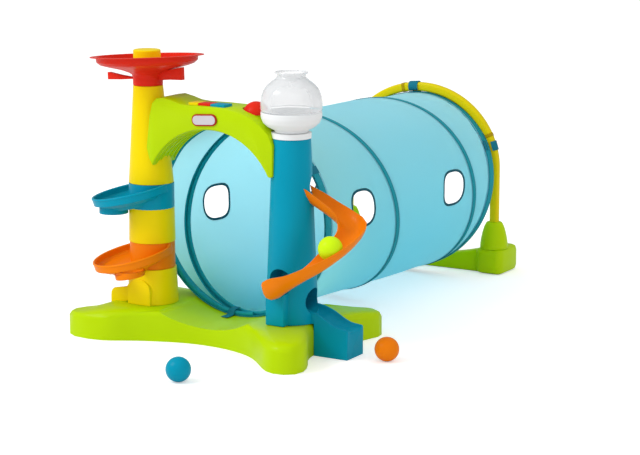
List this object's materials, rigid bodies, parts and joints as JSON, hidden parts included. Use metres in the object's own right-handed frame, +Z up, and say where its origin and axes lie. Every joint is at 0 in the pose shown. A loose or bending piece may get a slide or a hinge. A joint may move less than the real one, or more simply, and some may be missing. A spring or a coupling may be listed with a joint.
{
  "type": "kids play tunnel",
  "caption": "Coil-spring cloth crawl tunnel between a front stand with two ball-run towers, an arch with push keys and a curved ball slide, and a rear stand with a hoop arch.",
  "frame": {"origin": "on the floor under the front hoop's lowest point, on the underside of the front base", "axes": "+X to the right along the front arch, +Y back along the tunnel from the front hoop, +Z up"},
  "size_m": [0.818, 1.5263, 0.697],
  "materials": {
    "lime": "glossy moulded",
    "yellow": "glossy moulded",
    "teal": "glossy moulded",
    "orange": "glossy moulded",
    "red": "glossy moulded",
    "white": "glossy moulded",
    "clear": "clear plastic",
    "lime_ball": "glossy moulded",
    "rear_yellow": "glossy moulded",
    "cloth": "plain woven",
    "piping": "woven tape",
    "strap": "woven tape"
  },
  "bodies": {
    "front_stand": {"front_base": "lime", "yellow_lower_column": "yellow", "yellow_middle_column": "yellow", "yellow_upper_column": "yellow", "orange_tray": "orange", "teal_tray": "teal", "red_dish": "red", "dish_fin_left": "red", "dish_fin_right": "red", "yellow_cap": "yellow", "arch": "lime", "plaque_rim": "red", "plaque_face": "white", "battery_cover": "lime", "teal_tower": "teal", "white_collar": "white", "white_bowl": "white", "clear_globe": "clear", "slide": "orange", "chute": "teal", "front_strap_left": "strap", "front_strap_right": "strap", "base_strap": "strap", "tunnel_fabric": "cloth", "tunnel_spring": "piping", "window_binding_1": "piping", "window_binding_2": "piping", "window_binding_3": "piping", "window_binding_4": "piping"},
    "rear_stand": {"rear_base": "lime", "rear_leg_left": "rear_yellow", "rear_leg_right": "rear_yellow", "rear_arc_left": "rear_yellow", "rear_arc_right": "rear_yellow", "rear_strap_top": "strap", "rear_strap_left": "strap", "rear_strap_right": "strap", "rear_strap_bottom": "strap"},
    "yellow_key": {"key_yellow": "yellow"},
    "red_key": {"key_red": "red"},
    "teal_key": {"key_teal": "teal"},
    "dome": {"dome_button": "red"},
    "loose_teal_ball": {"teal_ball": "teal"},
    "loose_orange_ball": {"orange_ball": "orange"},
    "loose_green_ball": {"green_ball": "lime_ball"}
  },
  "joints": [
    {"name": "tunnel_fold", "type": "slide", "parent": "front_stand", "child": "rear_stand", "axis": [0, 1, 0], "range_m": [-0.55, 0], "stiffness_N_per_m": 25, "deforming": ["tunnel_fabric", "tunnel_spring", "window_binding_1", "window_binding_2", "window_binding_3", "window_binding_4"]},
    {"name": "key_yellow_press", "type": "slide", "parent": "front_stand", "child": "yellow_key", "axis": [0, 0, -1], "range_m": [0, 0.003], "stiffness_N_per_m": 300},
    {"name": "key_red_press", "type": "slide", "parent": "front_stand", "child": "red_key", "axis": [0, 0, -1], "range_m": [0, 0.003], "stiffness_N_per_m": 300},
    {"name": "key_teal_press", "type": "slide", "parent": "front_stand", "child": "teal_key", "axis": [0, 0, -1], "range_m": [0, 0.003], "stiffness_N_per_m": 300},
    {"name": "dome_press", "type": "slide", "parent": "front_stand", "child": "dome", "axis": [0, 0, -1], "range_m": [0, 0.005], "stiffness_N_per_m": 300},
    {"name": "teal_ball_lift", "type": "slide", "parent": "front_stand", "child": "loose_teal_ball", "axis": [0, 0, 1], "range_m": [0, 0.3]},
    {"name": "orange_ball_lift", "type": "slide", "parent": "front_stand", "child": "loose_orange_ball", "axis": [0, 0, 1], "range_m": [0, 0.3]},
    {"name": "green_ball_lift", "type": "slide", "parent": "front_stand", "child": "loose_green_ball", "axis": [0, 0, 1], "range_m": [0, 0.3]}
  ]
}
